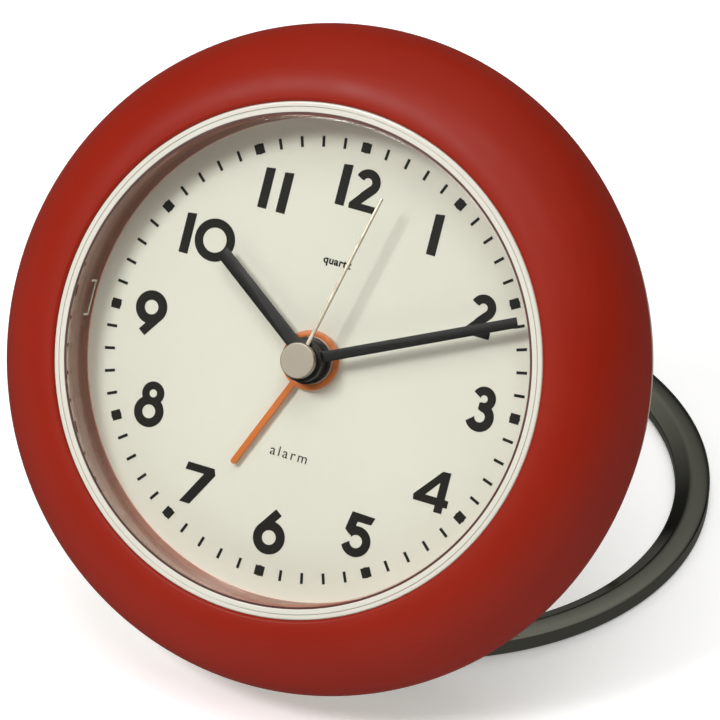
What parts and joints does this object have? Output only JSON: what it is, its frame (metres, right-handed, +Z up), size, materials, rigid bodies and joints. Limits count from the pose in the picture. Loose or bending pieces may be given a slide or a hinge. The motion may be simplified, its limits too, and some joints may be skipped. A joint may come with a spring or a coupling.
{
  "type": "travel alarm clock",
  "caption": "Round quartz travel alarm clock with a fat domed bezel, printed dial, four hands, rear setting knobs and a folding ring stand.",
  "frame": {"origin": "centre of the object's footprint, on the table", "axes": "+Z up, the dial faces -Y and leans back, +X towards 3 o'clock"},
  "size_m": [0.083, 0.0982, 0.0755],
  "materials": {
    "red_shell": "soft-touch matt red",
    "cream_shell": "satin cream",
    "pale_trim": "glossy pale cream",
    "clear": "clear polished acrylic",
    "dial_face": "matt pale green-white",
    "moulding": "plain moulded",
    "ink": "matt black print",
    "orange_paint": "matt orange paint",
    "orange_plastic": "matt orange",
    "black_paint": "matt black paint",
    "steel": "satin",
    "dark_chrome": "polished dark chrome",
    "black_plastic": "plain",
    "board": "solder-mask green",
    "copper": "enamelled copper wire",
    "cell_sleeve": "printed sleeve",
    "wheel": "natural moulded"
  },
  "bodies": {
    "case": {"rear_case": "cream_shell", "front_bezel": "red_shell", "lens_surround": "pale_trim", "crystal": "clear", "dial": "dial_face", "dial_seat": "moulding", "minute_track": "ink", "hour_numerals": "ink", "movement_frame": "moulding", "movement_cover": "moulding", "coil": "copper", "stator": "steel", "circuit_board": "board", "buzzer": "black_plastic", "switch_body": "black_plastic", "battery": "cell_sleeve", "battery_cradle": "moulding", "contact_plus": "steel", "contact_minus": "steel", "case_screws": "steel", "hinge_pin": "steel"},
    "stand": {"stand_ring": "dark_chrome"},
    "minute_body": {"minute_hand": "black_paint", "centre_wheel": "wheel"},
    "hour_body": {"hour_hand": "black_paint", "hour_wheel": "wheel"},
    "second_body": {"second_hand": "steel", "second_cap": "steel", "seconds_arbor": "steel"},
    "alarm_body": {"alarm_hand": "orange_paint", "alarm_wheel": "wheel"},
    "third_body": {"third_wheel": "wheel"},
    "motion_body": {"motion_wheel": "wheel", "time_knob": "cream_shell"},
    "alarm_setting": {"alarm_pinion": "wheel", "alarm_knob": "cream_shell"},
    "switch_slider": {"alarm_switch": "orange_plastic"},
    "door": {"battery_door": "cream_shell"}
  },
  "joints": [
    {"name": "stand_fold", "type": "hinge", "parent": "case", "child": "stand", "pos_m": [0, -0.02296, 0.0013], "axis": [1, 0, 0], "range_deg": [0, 58.3]},
    {"name": "minute_turn", "type": "hinge", "parent": "case", "child": "minute_body", "pos_m": [0, -0.02514, 0.0406], "axis": [0, -0.8512, 0.5249], "continuous": true},
    {"name": "hour_turn", "type": "hinge", "parent": "case", "child": "hour_body", "pos_m": [0, -0.02514, 0.0406], "axis": [0, -0.8512, 0.5249], "continuous": true},
    {"name": "second_turn", "type": "hinge", "parent": "case", "child": "second_body", "pos_m": [0, -0.02514, 0.0406], "axis": [0, -0.8512, 0.5249], "continuous": true},
    {"name": "third_turn", "type": "hinge", "parent": "case", "child": "third_body", "pos_m": [-0.00846, -0.02353, 0.04322], "axis": [0, -0.8512, 0.5249], "continuous": true},
    {"name": "time_set", "type": "hinge", "parent": "case", "child": "motion_body", "pos_m": [0.00846, -0.02353, 0.04322], "axis": [0, -0.8512, 0.5249], "continuous": true},
    {"name": "alarm_set", "type": "hinge", "parent": "case", "child": "alarm_setting", "pos_m": [0, -0.0196, 0.04959], "axis": [0, -0.8512, 0.5249], "continuous": true},
    {"name": "alarm_turn", "type": "hinge", "parent": "case", "child": "alarm_body", "pos_m": [0, -0.02514, 0.0406], "axis": [0, -0.8512, 0.5249], "continuous": true},
    {"name": "alarm_on_off", "type": "slide", "parent": "case", "child": "switch_slider", "axis": [1, 0, 0], "range_m": [0, 0.003]},
    {"name": "door_lift", "type": "slide", "parent": "case", "child": "door", "axis": [0, 0.8512, -0.5249], "range_m": [0, 0.012]}
  ],
  "couplings": [
    {"joint": "hour_turn", "follows": "minute_turn", "ratio": 0.083333},
    {"joint": "second_turn", "follows": "minute_turn", "ratio": 60},
    {"joint": "third_turn", "follows": "minute_turn", "ratio": -8},
    {"joint": "time_set", "follows": "minute_turn", "ratio": -0.33333},
    {"joint": "alarm_turn", "follows": "alarm_set", "ratio": -0.33333}
  ]
}
